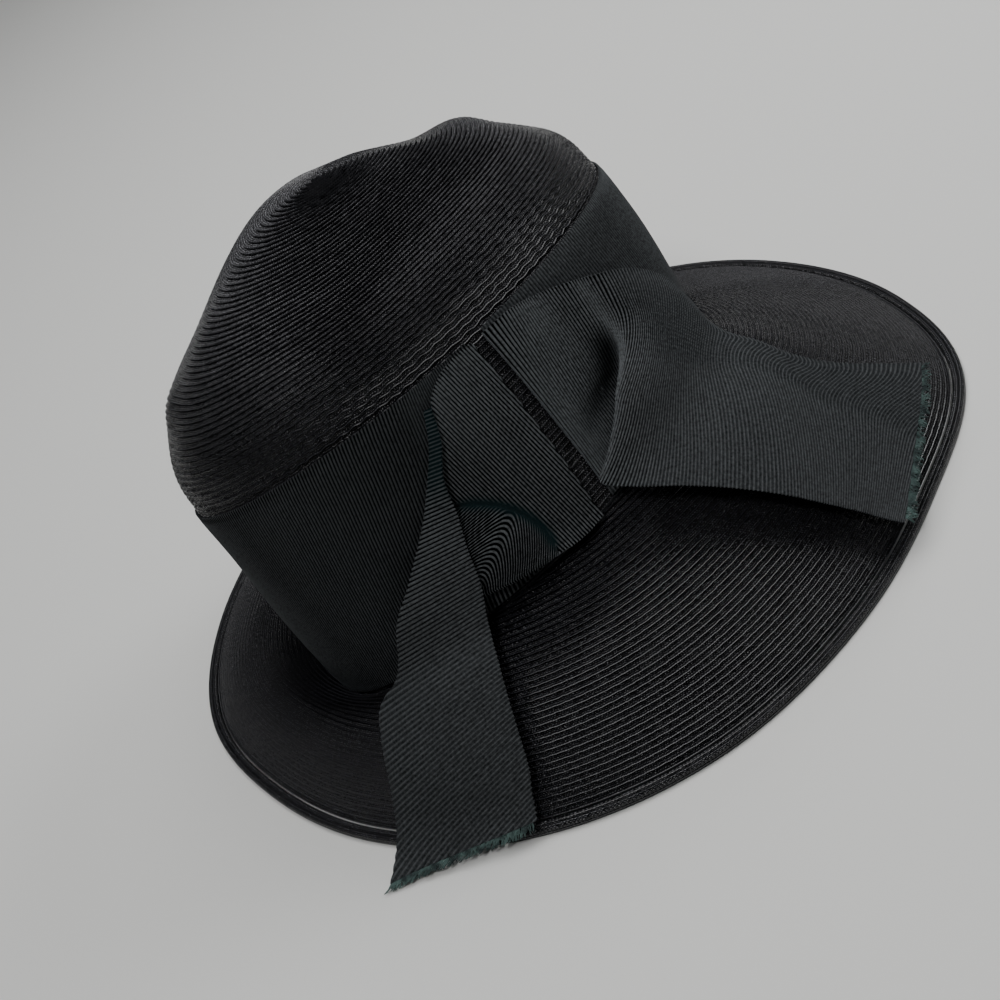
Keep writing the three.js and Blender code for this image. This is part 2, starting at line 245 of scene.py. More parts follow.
# Crown: one long braid of lacquered straw, sewn round and round from the tip. Each turn is lapped under
# the one above, so its lower edge stands proud and catches the light. The rows just above the ribbon wave.
braid_row = 2.0
plait_pitch = 0.85
lap_depth = 1.05
crown_columns = 504
row_shape = [(0.00, -0.80), (0.52, -0.42), (0.93, 0.00)]
hidden_shape = [(0.00, -0.80), (0.93, 0.00)]
weld = 0.002
# Painted light on the crown's top rises over these heights, in metres.
painted_light_from = 0.118
painted_light_full = 0.146


def grid_mesh(name, points, uv, merge=None):
    """A grid primitive laid over an array of points in millimetres, with a UV for each face's corners.

    uv takes a face's ring, and its corners' ring and column, and gives u and v. Where merge is given,
    a ring's columns fall onto every merge-th one, and welding thins them out.
    """
    if merge is not None:
        kept = np.arange(points.shape[1]) // merge[:, None] * merge[:, None]
        points = np.take_along_axis(points, kept[..., None], axis=1)
    rings, columns = points.shape[:2]
    bpy.ops.mesh.primitive_grid_add(x_subdivisions=columns - 1, y_subdivisions=rings - 1, size=1)
    piece = bpy.context.object
    piece.name = name
    placed = (points.reshape(-1, 3) - (rim_middle[0], rim_middle[1], 0)) * MM
    piece.data.vertices.foreach_set("co", placed.astype(np.float32).ravel())
    corner = np.empty(len(piece.data.loops), int)
    piece.data.loops.foreach_get("vertex_index", corner)
    face_ring = np.repeat(np.arange(len(piece.data.polygons)) // (columns - 1), 4)
    ring, column = corner // columns, corner % columns
    if merge is not None:
        column = kept[ring, column]
    u, v = uv(face_ring, ring, column)
    pairs = np.stack([u, v], axis=-1).astype(np.float32)
    piece.data.uv_layers.active.data.foreach_set("uv", pairs.ravel())
    piece.data.update()
    return piece


def close_mesh(piece):
    """Welds seams and poles and turns the faces outward."""
    bpy.ops.object.select_all(action="DESELECT")
    piece.select_set(True)
    bpy.context.view_layer.objects.active = piece
    bpy.ops.object.mode_set(mode="EDIT")
    bpy.ops.mesh.select_all(action="SELECT")
    bpy.ops.mesh.remove_doubles(threshold=weld * MM)
    bpy.ops.mesh.normals_make_consistent(inside=False)
    bpy.ops.object.mode_set(mode="OBJECT")
    bpy.ops.object.shade_smooth_by_angle(angle=math.radians(38))


def outward(surface, azimuth, t, step=1e-3):
    """Direction out of a surface that runs round the hat."""
    t = np.clip(t, step, 1 - 2 * step)
    du = surface(azimuth + 0.2, t) - surface(azimuth - 0.2, t)
    dv = surface(azimuth, t + step) - surface(azimuth, t - step)
    return unit(np.cross(du, dv))


def ripple(w, turns, seeds):
    """Uneven waves along the braid, w counted in turns of it."""
    phase = 2 * np.pi * turns * w
    return sum(a * np.sin(f * phase + p) for a, f, p in seeds)


# Distance from the tip down the crown's side, as an average round it
side_t = np.linspace(1, 0, 601)
side = crown_point(np.arange(0, 360, 15)[:, None], side_t[None])
side_length = np.concatenate([[0], np.linalg.norm(np.diff(side, axis=1), axis=-1).mean(axis=0).cumsum()])
to_band = float(np.interp(1 - band_top, 1 - side_t, side_length))
to_foot = float(side_length[-1])
visible_rows = math.ceil(to_band / braid_row) + 1
all_rows = math.floor(to_foot / braid_row)
rings = [(k, f, lift) for k in range(visible_rows) for f, lift in row_shape]
rings += [(k, f, lift) for k in range(visible_rows, all_rows + 1) for f, lift in hidden_shape]
row, part, lift = (np.array(a, float)[:, None] for a in zip(*rings))
turn = np.linspace(0, 1, crown_columns + 1)[None]
winding = row + turn
down = np.clip((winding + part - 1) * braid_row, 0, to_foot)
inside = (down > 0) & (down < to_foot)
girth = 2 * np.pi * 0.46 * 181 * np.sin(np.clip(down / 95, 0, 1) * np.pi / 2)
waves = [(0.55, 1.0, 0.3), (0.30, 1.618, 1.1), (0.35, 0.618, 2.2)]
ragged = ripple(winding, 23.71, waves)
above_band = smooth(17 * braid_row, 6 * braid_row, to_band - down)
drift = ripple(winding, 7.31, waves)
zigzag = np.abs(((winding * 102.07 + 0.30 * drift) % 1) * 2 - 1) * 2 - 1
uneven = (0.26 * above_band + 0.06) * zigzag * (0.8 + 0.4 * ragged) + 0.09 * ragged + 0.12 * drift
down = np.clip(down + uneven * inside * (part > 0), 0, to_foot)
fins = 1 + 0.75 * above_band * (part > 0.4)
height = np.where(inside, lap_depth * lift * fins * (1 + 0.12 * ragged), -0.3 * lap_depth)
height = np.where(down <= 0, 0, height)
t = np.interp(down, side_length, side_t)
outer = crown_point(360 * turn, t)
outer += height[..., None] * outward(crown_point, 360 * turn, t)

# The inner side of the wall, and the closing of the tip
inner_t = np.array([0.0, 0.06, 0.13, 0.2, 0.3, 0.4, 0.5, 0.6, 0.7, 0.8, 0.88, 0.94, 0.98, 1.0])[:, None]
inner = crown_point(360 * turn, inner_t)
inner -= straw_wall * outward(crown_point, 360 * turn, np.broadcast_to(inner_t, inner.shape[:2]))
inner[-1] = inner[-1].mean(axis=0)
tip_ring = np.broadcast_to(outer[0].mean(axis=0), outer[:1].shape)
outer[0] = tip_ring[0]
crown_points = np.concatenate([outer, inner])
outer_rings = len(outer)
ring_row = np.concatenate([row[:, 0], all_rows + np.arange(len(inner))])
ring_part = np.concatenate([part[:, 0], np.zeros(len(inner))])
ring_girth = np.linalg.norm(np.diff(crown_points, axis=1), axis=-1).sum(axis=1)


def braid_uv(ring_row, ring_part, ring_girth, columns):
    """UV of braid: u counts the plait's stitches along a row, v counts rows."""
    def uv(face_ring, ring, column):
        top = np.minimum(face_ring, len(ring_row) - 1)
        stitches = np.maximum(np.round(ring_girth[top] / plait_pitch), 1)
        this_row = ring_row[top]
        v = np.where(ring_row[ring] > this_row, this_row + 1, this_row + ring_part[ring])
        return stitches * column / columns, v
    return uv


merge = np.where(ring_row < 9, 2, np.where(ring_row >= visible_rows, 4, 1)).astype(int)
merge[:3] = 4
merge[outer_rings:] = 2
crown_uv = braid_uv(ring_row, ring_part, ring_girth, crown_columns)
crown = grid_mesh("crown_braid", crown_points, crown_uv, merge)
close_mesh(crown)


def nodes_of(name):
    """A new node material with its shader and a way to add linked nodes."""
    material = bpy.data.materials.new(name)
    material.use_nodes = True
    tree = material.node_tree
    shader = tree.nodes["Principled BSDF"]

    def add(kind, *sources, **settings):
        made = tree.nodes.new(kind)
        for key, value in settings.items():
            setattr(made, key, value)
        for i, source in enumerate(sources):
            if source is None:
                continue
            if isinstance(source, (int, float, tuple)):
                made.inputs[i].default_value = source
            else:
                tree.links.new(source, made.inputs[i])
        return made
    return material, tree, shader, add


def straw_material(name, gloss, plait_height, edge_from, edge_to, dust_and_painted_light):
    """Lacquered braid: in each row a sunken plait of beads, and a smooth strand along its lower edge.

    High up on the hat the beads are mixed toward pale grey in clouds: painted light on the crown's top.
    """
    material, tree, shader, add = nodes_of(name)
    place = add("ShaderNodeTexCoord")
    parts = add("ShaderNodeSeparateXYZ", place.outputs["UV"])
    along, rows = parts.outputs["X"], parts.outputs["Y"]
    in_row = add("ShaderNodeMath", rows, operation="FRACT").outputs[0]
    rising = add("ShaderNodeMapRange", in_row, edge_from, edge_from + 0.08, 0.0, 1.0).outputs[0]
    falling = add("ShaderNodeMapRange", in_row, edge_to, edge_to + 0.06, 1.0, 0.0).outputs[0]
    edge = add("ShaderNodeMath", rising, falling, operation="MULTIPLY").outputs[0]
    # Three strands of the plait, each half a stitch behind the one above
    strands = add("ShaderNodeMath", in_row, 3.0, operation="MULTIPLY").outputs[0]
    strand = add("ShaderNodeMath", strands, operation="FLOOR").outputs[0]
    stitch = add("ShaderNodeMath", strand, 0.5, operation="MULTIPLY").outputs[0]
    stitch = add("ShaderNodeMath", along, stitch, operation="ADD").outputs[0]
    in_stitch = add("ShaderNodeMath", stitch, operation="FRACT").outputs[0]
    in_strand = add("ShaderNodeMath", strands, operation="FRACT").outputs[0]
    wide = add("ShaderNodeMath", in_stitch, math.pi, operation="MULTIPLY").outputs[0]
    wide = add("ShaderNodeMath", wide, operation="SINE").outputs[0]
    tall = add("ShaderNodeMath", in_strand, math.pi, operation="MULTIPLY").outputs[0]
    tall = add("ShaderNodeMath", tall, operation="SINE").outputs[0]
    bead = add("ShaderNodeMath", wide, tall, operation="MULTIPLY").outputs[0]
    flat = add("ShaderNodeMath", 1.0, edge, operation="SUBTRACT").outputs[0]
    beads = add("ShaderNodeMath", bead, flat, operation="MULTIPLY").outputs[0]
    relief = add("ShaderNodeMath", beads, edge, operation="ADD").outputs[0]
    # Every bead is a flake of straw with a tilt and a brightness of its own
    cell_u = add("ShaderNodeMath", stitch, operation="FLOOR").outputs[0]
    cell_v = add("ShaderNodeMath", rows, 3.0, operation="MULTIPLY").outputs[0]
    cell_v = add("ShaderNodeMath", cell_v, operation="FLOOR").outputs[0]
    cell = add("ShaderNodeCombineXYZ", cell_u, cell_v)
    flake = add("ShaderNodeTexWhiteNoise", cell.outputs[0], noise_dimensions="3D")
    cloud = add("ShaderNodeTexNoise", place.outputs["Object"])
    cloud.inputs["Scale"].default_value = 28
    cloud.inputs["Detail"].default_value = 4
    stalk = add("ShaderNodeTexNoise", place.outputs["Object"])
    stalk.inputs["Scale"].default_value = 900
    stalk.inputs["Detail"].default_value = 2
    # Colour follows the relief: the bead tops and the edge strand are lighter, and the colour is near black
    # between the beads and at the foot of the strand, as painted shade in the recesses. Each bead's
    # brightness also differs at random.
    shade = add("ShaderNodeMath", flake.outputs["Value"], 1.6, operation="POWER").outputs[0]
    bright = add("ShaderNodeMath", beads, shade, operation="MULTIPLY").outputs[0]
    strand_tone = add("ShaderNodeMath", edge, 0.50, operation="MULTIPLY").outputs[0]
    tone = add("ShaderNodeMath", bright, strand_tone, operation="ADD").outputs[0]
    colour = add("ShaderNodeValToRGB", tone)
    colour.color_ramp.elements[0].color = (0.0028, 0.0028, 0.0036, 1)
    colour.color_ramp.elements[1].color = (0.050, 0.050, 0.058, 1)
    # Painted light: high up on the crown the beads are mixed toward pale grey in clouds, so the top reads
    # lighter.
    height = add("ShaderNodeSeparateXYZ", place.outputs["Object"]).outputs["Z"]
    high_up = add("ShaderNodeMapRange", height, painted_light_from, painted_light_full, 0.0, dust_and_painted_light).outputs[0]
    patchy = add("ShaderNodeMapRange", cloud.outputs["Fac"], 0.38, 0.62, 0.35, 1.0).outputs[0]
    painted_light_share = add("ShaderNodeMath", high_up, patchy, operation="MULTIPLY").outputs[0]
    bead_light_share = add("ShaderNodeMapRange", flake.outputs["Value"], 0.0, 1.0, 0.25, 1.0).outputs[0]
    bead_light_share = add("ShaderNodeMath", bead_light_share, beads, operation="MULTIPLY").outputs[0]
    painted_light_share = add("ShaderNodeMath", painted_light_share, bead_light_share, operation="MULTIPLY").outputs[0]
    painted_light_mix = add("ShaderNodeMix", data_type="RGBA")
    tree.links.new(painted_light_share, painted_light_mix.inputs["Factor"])
    tree.links.new(colour.outputs["Color"], painted_light_mix.inputs["A"])
    painted_light_mix.inputs["B"].default_value = (0.27, 0.27, 0.29, 1)
    tree.links.new(painted_light_mix.outputs["Result"], shader.inputs["Base Color"])
    rough = add("ShaderNodeMapRange", cloud.outputs["Fac"], 0.35, 0.7, gloss, gloss + 0.08).outputs[0]
    tree.links.new(rough, shader.inputs["Roughness"])
    bump = add("ShaderNodeBump")
    bump.inputs["Strength"].default_value = 1.0
    bump.inputs["Distance"].default_value = plait_height * MM
    tree.links.new(relief, bump.inputs["Height"])
    fine = add("ShaderNodeBump")
    fine.inputs["Strength"].default_value = 0.5
    fine.inputs["Distance"].default_value = 0.05 * MM
    tree.links.new(stalk.outputs["Fac"], fine.inputs["Height"])
    tree.links.new(bump.outputs["Normal"], fine.inputs["Normal"])
    tilt = add("ShaderNodeVectorMath", flake.outputs["Color"], (0.5, 0.5, 0.5), operation="SUBTRACT")
    part = add("ShaderNodeMath", flat, 0.5, operation="MULTIPLY")
    tilted = add("ShaderNodeVectorMath", tilt.outputs[0], operation="SCALE")
    tree.links.new(part.outputs[0], tilted.inputs["Scale"])
    facing = add("ShaderNodeVectorMath", fine.outputs["Normal"], tilted.outputs[0], operation="ADD")
    facing = add("ShaderNodeVectorMath", facing.outputs[0], operation="NORMALIZE")
    tree.links.new(facing.outputs[0], shader.inputs["Normal"])
    # Fibres shade each other where they are seen at a flat angle, and between the beads
    flatness = add("ShaderNodeLayerWeight", 0.5)
    open_part = add("ShaderNodeMapRange", flatness.outputs["Facing"], 0.72, 0.99, 0.80, 0.04).outputs[0]
    lit = add("ShaderNodeMath", relief, open_part, operation="MULTIPLY").outputs[0]
    tree.links.new(lit, shader.inputs["Specular IOR Level"])
    shader.inputs["IOR"].default_value = 1.52
    return material


# Only the crown's straw has the painted light on its top.
straw_with_painted_light = straw_material("straw_braid_with_painted_light", 0.20, 0.24, 0.78, 0.94, 1.0)
crown.data.materials.append(straw_with_painted_light)
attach(crown, "root")
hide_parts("crown")

# Brim: the same braid, sewn on in rings from the crown's foot outward, flat enough to show every row.
# Rows keep their width, so the narrow back of the brim has fewer of them.
brim_columns = 640
brim_azimuth = np.linspace(0, 360, brim_columns + 1)[None]
profile_v = np.linspace(1, 0, 121)[:, None]
profile = brim_point(brim_azimuth, profile_v)
profile_length = np.vstack([
    np.zeros((1, brim_columns + 1)),
    np.linalg.norm(np.diff(profile, axis=0), axis=-1).cumsum(axis=0),
])
brim_row_count = math.ceil(profile_length[-1].max() / braid_row)
rings = [(k, f, lift) for k in range(brim_row_count, 0, -1) for f, lift in row_shape]
row, part, lift = (np.array(a, float)[:, None] for a in zip(*rings))
ragged = ripple(row + brim_azimuth / 360 * 7, 31.0, waves)
inward = (row - part) * braid_row + 0.10 * ragged * (part > 0) * (row > 1)
inward = np.clip(inward, 0, None)
v = np.empty_like(inward)
for i in range(brim_columns + 1):
    v[:, i] = np.interp(inward[:, i], profile_length[:, i], profile_v[:, 0])
height = np.where(v > 0, lap_depth * lift, -0.3 * lap_depth)
brim_top = brim_point(brim_azimuth, v) + height[..., None] * outward(
    lambda a, d: brim_point(a, 1 - d), brim_azimuth, 1 - v
)
under_v = np.linspace(1, 0, 11)[:, None]
brim_under = brim_point(brim_azimuth, under_v) - straw_wall * outward(
    lambda a, d: brim_point(a, 1 - d), brim_azimuth, np.broadcast_to(1 - under_v, (11, brim_columns + 1))
)
brim_points = np.concatenate([brim_top, brim_under, brim_top[:1]])
ring_row = np.concatenate([brim_row_count - row[:, 0], brim_row_count + np.arange(12)])
ring_part = np.concatenate([part[:, 0], np.zeros(12)])
ring_girth = np.linalg.norm(np.diff(brim_points, axis=1), axis=-1).sum(axis=1)
brim = grid_mesh("brim_braid", brim_points, braid_uv(ring_row, ring_part, ring_girth, brim_columns))
close_mesh(brim)
straw = straw_material("lacquered_straw_braid", 0.20, 0.24, 0.78, 0.94, 0.0)
brim.data.materials.append(straw)
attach(brim, "root")
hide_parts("brim")

# Edge of the brim: the last row is doubled over a wire and stitched, a smooth flat band with a round lip.
edge_columns = 480
edge_stitches_per_column = 1.6
edge_rings_per_row = 3.0
edge_azimuth = np.linspace(0, 360, edge_columns + 1)[None]
edge_shape = [
    (0.00, 0.20), (0.06, 0.05), (0.20, 0.00), (0.80, 0.00), (0.95, 0.06), (1.00, 0.25), (0.98, 0.46),
    (0.93, 0.52), (0.98, 0.58), (1.00, 0.78), (0.94, 0.94), (0.80, 1.00), (0.62, 0.98), (0.55, 0.90),
    (0.48, 0.98), (0.30, 1.00), (0.10, 0.96), (0.00, 0.80), (0.00, 0.20),
]
edge_points = np.stack([
    rim_point(edge_azimuth[0], edge_width * (1 - x), edge_height * z) for x, z in edge_shape
])


def edge_uv(face_ring, ring, column):
    return column * edge_stitches_per_column, ring / edge_rings_per_row


rim_edge = grid_mesh("rim_edge_row", edge_points, edge_uv)
close_mesh(rim_edge)
rim_edge.data.materials.append(straw)
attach(rim_edge, "root")
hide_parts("rim_edge")

# Ribbon round the crown: wide ribbed silk and cotton, drawn tight, with its cut ends meeting under the
# bow. The ribs run across it, a little aslant at the left, and the woven edges are a little thicker.
rib_pitch = 1.25
rib_height = 0.24
ribbon_thick = 0.70
gap_left = (-80, -78)
gap_right = (-75, -73.5)
hat_core = (0, 0, 30)


def ribbon_mesh(
    name, surface, width_steps, rib_field=None, calm=None, extra=None, wear_and_painted_shade=None, fading_and_painted_light=None, rib_points=4
):
    """A ribbon over surface(u, v), u along it and v across: even ribs, thickness and soft woven edges.

    The functions after width_steps take u, v and the points, and give another count of the ribs, a share
    of their height, a lift off the surface, a mark toward the material's mix colour (wear on the loop and
    tail, painted shade on the band and in the pleat), and a mark that greys the ribs (sun fading on the
    tails, painted light on the band). rib_points is the number of the mesh's columns in a rib.
    """
    fine_u = np.linspace(0, 1, 801)[:, None]
    track = surface(fine_u, np.array([[0.15, 0.5, 0.85]]))
    steps = np.linalg.norm(np.diff(track, axis=0), axis=-1).mean(axis=1)
    run = np.concatenate([[0], steps.cumsum()])
    ribs = round(run[-1] / rib_pitch)
    columns = ribs * rib_points
    u = np.interp(np.linspace(0, run[-1], columns + 1), run, fine_u[:, 0])[:, None]
    v = np.linspace(0, 1, width_steps + 1)[None]
    u, v = np.broadcast_arrays(u, v)
    p = surface(u, v)
    step = 2e-3
    du = surface(np.clip(u + step, 0, 1), v) - surface(np.clip(u - step, 0, 1), v)
    dv = surface(u, np.clip(v + step, 0, 1)) - surface(u, np.clip(v - step, 0, 1))
    out = unit(np.cross(du, dv))
    out *= np.sign(np.mean(np.sum(out * (p - hat_core), axis=-1)))
    count = np.broadcast_to(np.linspace(0, ribs, columns + 1)[:, None], u.shape)
    if rib_field is not None:
        count = rib_field(u, v, p, count)
    strength = 1 if calm is None else calm(u, v, p)
    lift = rib_height * strength * np.cos(2 * np.pi * count)
    if extra is not None:
        lift = lift + extra(u, v, p)
    from_edge = np.minimum(v, 1 - v) * ribbon_width
    lift = lift * smooth(0, 1.2, from_edge) + 0.08 * np.exp(-(from_edge / 0.8) ** 2)
    p = p + lift[..., None] * out
    sideways = unit(dv) * np.where(v < 0.5, -1, 1)[..., None]
    p = p + (0.14 * np.cos(2 * np.pi * count) * (from_edge <= 0))[..., None] * sideways
    piece = grid_mesh(
        name, p, lambda face_ring, ring, column: (count[ring, column], v[ring, column] * ribbon_width)
    )
    for mark_name, amount in (("wear_and_painted_shade", wear_and_painted_shade), ("fading_and_painted_light", fading_and_painted_light)):
        if amount is not None:
            mark = piece.data.attributes.new(mark_name, "FLOAT", "POINT")
            values = np.broadcast_to(amount(u, v, p), u.shape).astype(np.float32)
            mark.data.foreach_set("value", values.ravel())
    bpy.ops.object.select_all(action="DESELECT")
    piece.select_set(True)
    bpy.context.view_layer.objects.active = piece
    bpy.ops.object.modifier_add(type="SOLIDIFY")
    piece.modifiers["Solidify"].thickness = ribbon_thick * MM
    piece.modifiers["Solidify"].offset = 0
    bpy.ops.object.modifier_apply(modifier="Solidify")
    bpy.ops.object.shade_smooth_by_angle(angle=math.radians(50))
    return piece, run[-1]


def band_point(u, v):
    """The ribbon's middle, u round the crown from the bow's right side, v up from the foot.

    drawn turns the ribs aslant on the left side, and back again under the bow.
    """
    left = gap_left[0] + (gap_left[1] - gap_left[0]) * v
    right = gap_right[0] + (gap_right[1] - gap_right[0]) * v
    foot = (1 + clearance) / ribbon_width
    drawn = 13 * (v - 0.5) * smooth(0.60, 0.85, u) * smooth(1, 0.93, u)
    azimuth = right + (left + 360 - right) * u + drawn
    t = band_top * (foot + (1 - foot) * v)
    return crown_point(azimuth, t) + (clearance + 0.25) * outward(crown_point, azimuth, t)


# On the band, painted shade: the colour is mixed toward near black from the back round the left side to the
# bow. Painted light: the ribs are greyed from the bow round the front to the right side.
band, band_length = ribbon_mesh(
    "ribbon_round_crown", band_point, 24, wear_and_painted_shade=lambda u, v, p: 0.55 * smooth(0.5, 0.8, u),
    fading_and_painted_light=lambda u, v, p: smooth(0.34, 0.10, u),
)


def ribbon_material(name, wear_and_painted_shade=None, wear_and_shade_colour=(0.008, 0.019, 0.021, 1)):
    """Ribbed ribbon: each rib is a fat cord under fine warp, its grooves painted near black as shade, its
    crests fading in clouds, and dusty in clouds.
    """
    material, tree, shader, add = nodes_of(name)
    place = add("ShaderNodeTexCoord")
    parts = add("ShaderNodeSeparateXYZ", place.outputs["UV"])
    ribs, across = parts.outputs["X"], parts.outputs["Y"]
    rib_wave = add("ShaderNodeMath", ribs, 2 * math.pi, operation="MULTIPLY").outputs[0]
    rib_cos = add("ShaderNodeMath", rib_wave, operation="COSINE").outputs[0]
    crest = add("ShaderNodeMapRange", rib_cos, 0.10, 0.95, 0.0, 1.0).outputs[0]
    warp = add("ShaderNodeMath", across, 2 * math.pi * 3.2, operation="MULTIPLY").outputs[0]
    warp_sine = add("ShaderNodeMath", warp, operation="SINE").outputs[0]
    warp01 = add("ShaderNodeMapRange", warp_sine, -1.0, 1.0, 0.0, 1.0).outputs[0]
    cloud = add("ShaderNodeTexNoise", place.outputs["Object"])
    cloud.inputs["Scale"].default_value = 34
    cloud.inputs["Detail"].default_value = 5
    dust_and_painted_light = add("ShaderNodeTexNoise", place.outputs["Object"])
    dust_and_painted_light.inputs["Scale"].default_value = 1100
    dust_and_painted_light.inputs["Detail"].default_value = 3
    fleck = add("ShaderNodeMapRange", dust_and_painted_light.outputs["Fac"], 0.3, 0.7, 0.45, 1.5).outputs[0]
    fading_and_painted_light = add("ShaderNodeMapRange", cloud.outputs["Fac"], 0.3, 0.7, 0.70, 1.0).outputs[0]
    tone = add("ShaderNodeMath", crest, fading_and_painted_light, operation="MULTIPLY").outputs[0]
    # The greying mark lifts the grooves and dims the crests: sun fading on the tails, and painted light on
    # the band from the bow round to its right side.
    sun = add("ShaderNodeAttribute", attribute_name="fading_and_painted_light").outputs["Fac"]
    kept = add("ShaderNodeMapRange", sun, 0.0, 1.0, 1.15, 0.30).outputs[0]
    lifted = add("ShaderNodeMath", sun, 0.30, operation="MULTIPLY").outputs[0]
    tone = add("ShaderNodeMath", tone, kept, operation="MULTIPLY").outputs[0]
    tone = add("ShaderNodeMath", tone, lifted, operation="ADD").outputs[0]
    tone = add("ShaderNodeMath", tone, fleck, operation="MULTIPLY").outputs[0]
    # Painted shade: the colour goes near black in the grooves between the ribs, and is lighter on the
    # crests.
    colour = add("ShaderNodeValToRGB", tone)
    colour.color_ramp.elements[0].color = (0.0008, 0.0009, 0.0011, 1)
    colour.color_ramp.elements[1].color = (0.098, 0.106, 0.112, 1)
    last = colour.outputs["Color"]
    # The mix toward the wear colour is teal wear on the loop and the left tail, and painted shade, near
    # black, on the band and in the pleat.
    if wear_and_painted_shade is not None:
        mark = add("ShaderNodeAttribute", attribute_name=wear_and_painted_shade)
        mix = add("ShaderNodeMix", data_type="RGBA")
        tree.links.new(mark.outputs["Fac"], mix.inputs["Factor"])
        tree.links.new(last, mix.inputs["A"])
        mix.inputs["B"].default_value = wear_and_shade_colour
        last = mix.outputs["Result"]
    tree.links.new(last, shader.inputs["Base Color"])
    rough = add("ShaderNodeMapRange", dust_and_painted_light.outputs["Fac"], 0.3, 0.7, 0.55, 0.8).outputs[0]
    tree.links.new(rough, shader.inputs["Roughness"])
    relief = add("ShaderNodeMath", warp01, 0.35, operation="MULTIPLY").outputs[0]
    relief = add("ShaderNodeMath", relief, crest, operation="ADD").outputs[0]
    relief = add("ShaderNodeMath", relief, dust_and_painted_light.outputs["Fac"], operation="ADD").outputs[0]
    bump = add("ShaderNodeBump")
    bump.inputs["Strength"].default_value = 0.7
    bump.inputs["Distance"].default_value = 0.14 * MM
    tree.links.new(relief, bump.inputs["Height"])
    tree.links.new(bump.outputs["Normal"], shader.inputs["Normal"])
    shine = add("ShaderNodeMath", crest, 0.22, operation="MULTIPLY").outputs[0]
    tree.links.new(shine, shader.inputs["Specular IOR Level"])
    fuzz = add("ShaderNodeMath", crest, 0.04, operation="MULTIPLY").outputs[0]
    tree.links.new(fuzz, shader.inputs["Sheen Weight"])
    shader.inputs["Sheen Tint"].default_value = (0.80, 0.90, 1.0, 1)
    shader.inputs["Sheen Roughness"].default_value = 0.45
    return material


# Here the mix colour is near black: painted shade on the band's back and left side, and in the pleat.
grosgrain = ribbon_material("black_grosgrain", "wear_and_painted_shade", (0.0015, 0.0020, 0.0026, 1))
band.data.materials.append(grosgrain)
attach(band, "root")
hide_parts("ribbon_band")

# Left loop of the bow: the ribbon leaves the gap, lies flat over the band and rolls under at its left edge.
# An old fold has worn its ribs smooth and teal near the foot, and the ribbon swells like a pillow below it.
left_loop_rows = [
    (-77.0, 0.01, 0.000, -77.6, 0.50, 0.000, -79.5, 1.02, 0.012),
    (-81.0, 0.00, 0.004, -83.0, 0.50, 0.010, -85.0, 1.02, 0.020),
    (-85.5, 0.02, 0.010, -89.0, 0.52, 0.022, -91.5, 0.99, 0.034),
    (-88.2, 0.06, 0.008, -95.5, 0.50, 0.018, -99.5, 0.95, 0.030),
    (-89.4, 0.09, 0.000, -100.5, 0.48, 0.004, -107.0, 0.90, 0.006),
]
bow_seat = 1.75


def outside_point(azimuth, down):
    """The hat's outside from the ribbon's upper edge (0) over the foot (1) to the rim (2) and past it."""
    azimuth, down = np.broadcast_arrays(np.asarray(azimuth, float), np.asarray(down, float))
    on_crown = crown_point(azimuth, band_top * (1 - np.minimum(down, 1)))
    on_brim = brim_point(azimuth, np.clip(down - 1, 0, 1))
    rim = brim_point(azimuth, np.ones_like(azimuth))
    width = np.linalg.norm(rim - brim_point(azimuth, np.zeros_like(azimuth)), axis=-1)
    past = np.maximum(down - 2, 0) * width
    beyond = rim + past[..., None] * np.stack(
        [np.cos(np.radians(azimuth)), np.sin(np.radians(azimuth)), 0 * azimuth], axis=-1
    )
    drop = smooth(1.5 * edge_width, 3.5 * edge_width, past)
    beyond[..., 2] = rim[..., 2] + drop * (-clearance - rim[..., 2])
    first = (down < 1)[..., None]
    last = (down > 2)[..., None]
    return np.where(first, on_crown, np.where(last, beyond, on_brim))


def lifted_point(azimuth, down, lift):
    """The same with the corner at the foot bridged, as a ribbon does, and lifted off by a length."""
    rise = np.radians(15 + 37 * smooth(0, 1.5, down))
    away = np.stack([
        np.cos(np.radians(azimuth)) * np.cos(rise),
        np.sin(np.radians(azimuth)) * np.cos(rise),
        np.sin(rise),
    ], axis=-1)
    knot = np.round(down / bridge)
    t = down / bridge - knot
    weights = (0.5 * (0.5 - t) ** 2, 0.75 - t * t, 0.5 * (0.5 + t) ** 2)
    p = sum(w[..., None] * outside_point(azimuth, bridge * (knot + k)) for w, k in zip(weights, (-1, 0, 1)))
    return p + lift[..., None] * away


def across(v, first, middle, last):
    """A value across a piece, from those at its first edge, its middle and its last edge."""
    return 2 * (v - 0.5) * (v - 1) * first + 4 * v * (1 - v) * middle + 2 * v * (v - 0.5) * last


def bow_surface(rows, late=0, late_at=0.3):
    """A bow piece's middle surface: u along its sections, v from its first edge to its last.

    late holds back the turn and the lift near the first edge, round late_at, so that a fold begins below.
    """
    def surface(u, v):
        u, v = np.broadcast_arrays(u, v)
        a1, d1, l1, a2, d2, l2, a3, d3, l3 = np.moveaxis(between(rows, u), -1, 0)
        held = v - late * np.exp(-((u - late_at) / 0.13) ** 2) * v * smooth(0.62, 0.24, v)
        azimuth = across(held, a1, a2, a3)
        down = across(v, d1, d2, d3)
        lift = across(held, l1, l2, l3)
        return lifted_point(azimuth, down, bow_seat + lift * ribbon_width)
    return surface


